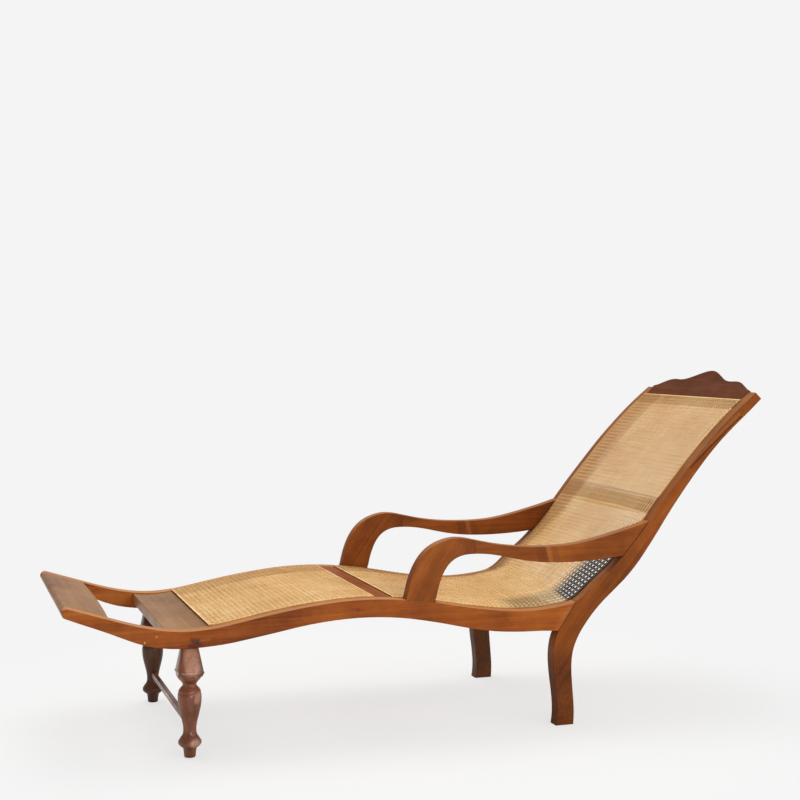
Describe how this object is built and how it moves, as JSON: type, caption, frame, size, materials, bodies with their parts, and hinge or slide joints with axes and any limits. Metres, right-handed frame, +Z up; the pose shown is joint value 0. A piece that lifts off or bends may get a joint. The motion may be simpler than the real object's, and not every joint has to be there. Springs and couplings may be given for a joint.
{
  "type": "planters chair",
  "caption": "Long reclining planters chair in polished hardwood with a caned leg rest, seat and back, curved arms, turned front legs and a scalloped crest.",
  "frame": {"origin": "on the floor under the middle of the chair's length and width", "axes": "+X toward the back, -X the foot end, -Y the sitter's left, +Z up"},
  "size_m": [1.896, 0.633, 0.9128],
  "materials": {
    "polished_hardwood": "gloss",
    "board_hardwood": "gloss",
    "crest_hardwood": "satin",
    "turned_hardwood": "gloss",
    "peg_hardwood": "satin",
    "woven_cane": "satin"
  },
  "bodies": {
    "root": {"side_rail_left": "polished_hardwood", "back_post_left": "polished_hardwood", "arm_elbow_left": "polished_hardwood", "arm_middle_left": "polished_hardwood", "arm_rear_left": "polished_hardwood", "front_leg_left": "turned_hardwood", "side_rail_right": "polished_hardwood", "back_post_right": "polished_hardwood", "arm_elbow_right": "polished_hardwood", "arm_middle_right": "polished_hardwood", "arm_rear_right": "polished_hardwood", "front_leg_right": "turned_hardwood", "front_stretcher": "turned_hardwood", "foot_board": "board_hardwood", "front_cross_board": "board_hardwood", "knee_rail": "board_hardwood", "seat_rear_rail": "polished_hardwood", "back_mid_rail": "polished_hardwood", "crest_rail": "crest_hardwood", "leg_cane_panel": "woven_cane", "seat_cane_panel": "woven_cane", "rail_post_pegs": "peg_hardwood", "arm_pegs": "peg_hardwood"}
  },
  "joints": []
}
